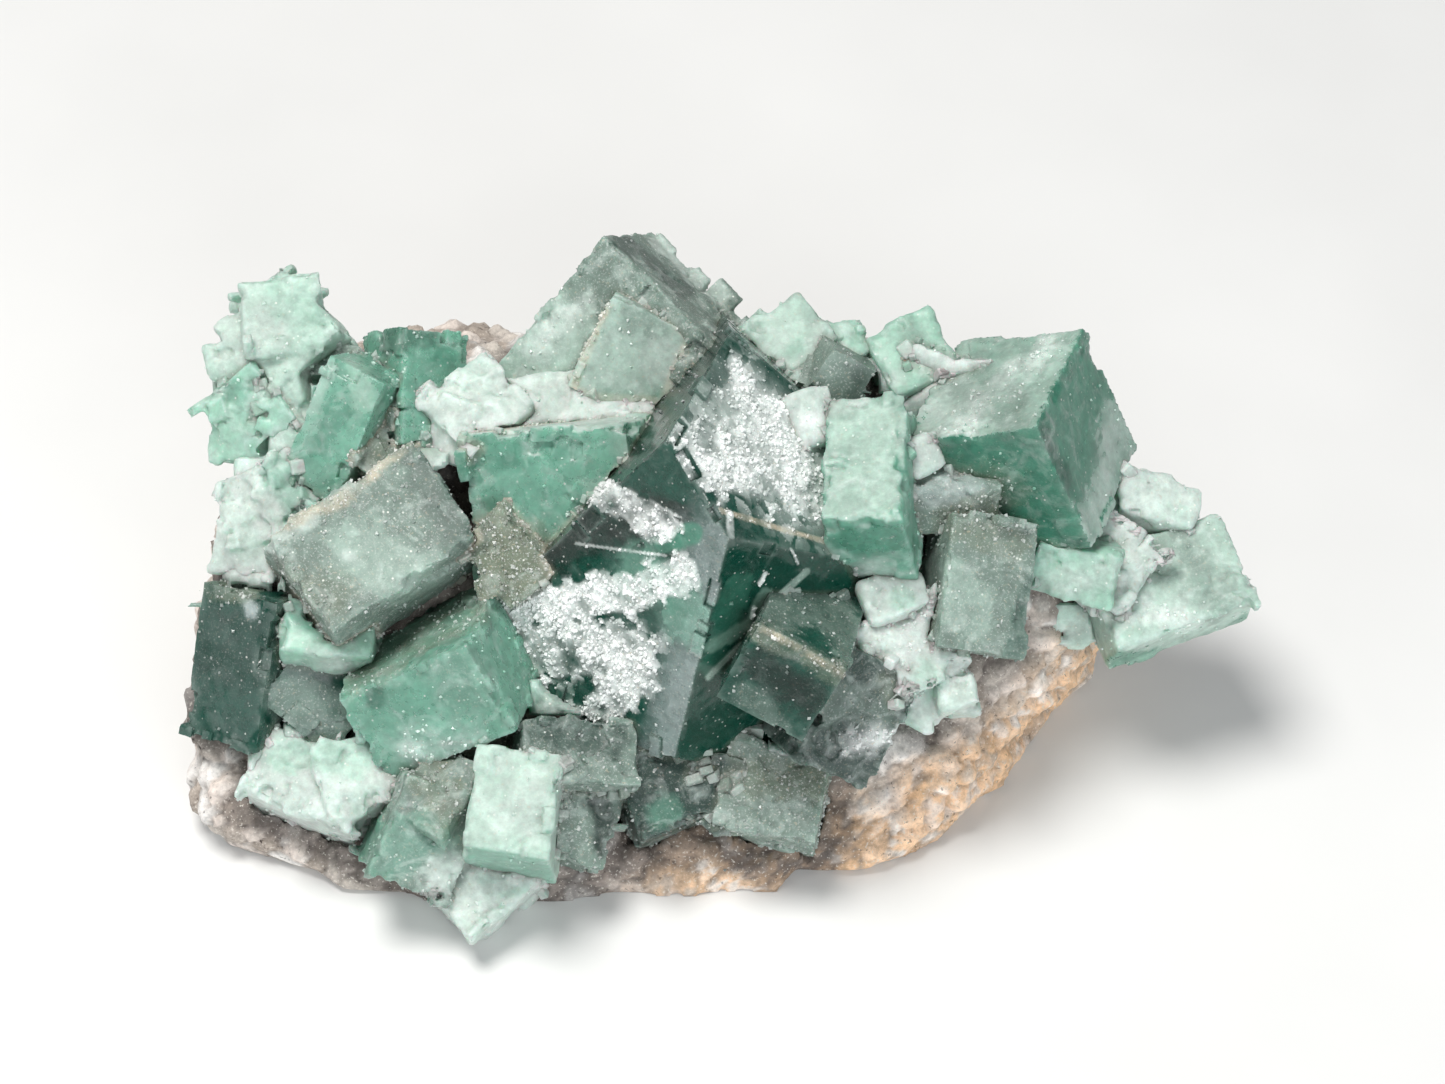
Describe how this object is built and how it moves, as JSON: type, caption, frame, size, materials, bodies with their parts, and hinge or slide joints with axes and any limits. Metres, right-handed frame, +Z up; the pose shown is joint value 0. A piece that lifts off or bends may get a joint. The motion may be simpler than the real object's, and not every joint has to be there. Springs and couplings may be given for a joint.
{
  "type": "fluorite specimen",
  "caption": "Green cubic fluorite crystals grown together over the sloping face of a broken, flat-based rock.",
  "frame": {"origin": "middle of the underside of the specimen's box, on the surface it lies on", "axes": "+X along the specimen's long side, -Y towards the face that carries the crystals, +Z up"},
  "size_m": [0.1096, 0.0752, 0.0482],
  "materials": {
    "fluorite_dark_green": "clear dark green fluorite, glossy cleaved and grown faces, patches of white sugary druse",
    "fluorite_green": "mid green translucent fluorite, satin faces with fine growth steps and pale specks",
    "fluorite_mint": "pale mint translucent fluorite, soft white clouding at edges and corners",
    "fluorite_cloudy": "milky mint to white fluorite, rounded worn edges, frosted",
    "fluorite_frosted": "grey-green fluorite under a fine sparkling quartz druse",
    "matrix_rock": "rough brown, grey and pinkish tan broken rock with white quartz lumps and an orange-tan lower rim"
  },
  "bodies": {
    "root": {"largest_crystal": "fluorite_dark_green", "lower_right_cube_on_largest": "fluorite_dark_green", "right_cube": "fluorite_green", "standing_pillar": "fluorite_mint", "top_cube_step": "fluorite_green", "top_cube": "fluorite_frosted", "left_centre_cube": "fluorite_green", "broad_frosted_cube": "fluorite_frosted", "lower_left_centre_cube": "fluorite_green", "dark_left_cube": "fluorite_dark_green", "small_mint_cube": "fluorite_mint", "low_mint_cube": "fluorite_mint", "lowest_cube": "fluorite_cloudy", "low_tall_cube": "fluorite_mint", "low_cloudy_cluster": "fluorite_cloudy", "under_largest_left_cube": "fluorite_frosted", "low_frosted_cube": "fluorite_frosted", "under_largest_centre_cube": "fluorite_frosted", "under_largest_small_cube": "fluorite_frosted", "under_largest_right_cube": "fluorite_frosted", "right_low_frosted_cube": "fluorite_frosted", "right_grey_cube": "fluorite_frosted", "right_cloudy_cluster": "fluorite_cloudy", "right_brown_facet_cube": "fluorite_frosted", "under_pillar_cube": "fluorite_cloudy", "under_right_cube": "fluorite_mint", "far_right_cube": "fluorite_mint", "far_right_inner_cube": "fluorite_cloudy", "far_right_tip": "fluorite_cloudy", "top_right_mint_pair": "fluorite_mint", "top_right_ledge": "fluorite_cloudy", "top_right_chip": "fluorite_mint", "top_right_mint_cube": "fluorite_mint", "behind_pillar_cube": "fluorite_cloudy", "small_dark_cube": "fluorite_dark_green", "small_white_cube": "fluorite_cloudy", "pillar_side_chip": "fluorite_cloudy", "top_left_cluster": "fluorite_mint", "top_left_lower_cluster": "fluorite_mint", "long_green_crystal": "fluorite_green", "upper_left_edge_cube": "fluorite_green", "upper_left_ledge": "fluorite_frosted", "upper_left_white_cluster": "fluorite_cloudy", "left_cloudy_cluster": "fluorite_cloudy", "white_ledge": "fluorite_cloudy", "upper_left_seam_cube": "fluorite_frosted", "centre_seam_cube": "fluorite_frosted", "rock_matrix": "matrix_rock"}
  },
  "joints": []
}
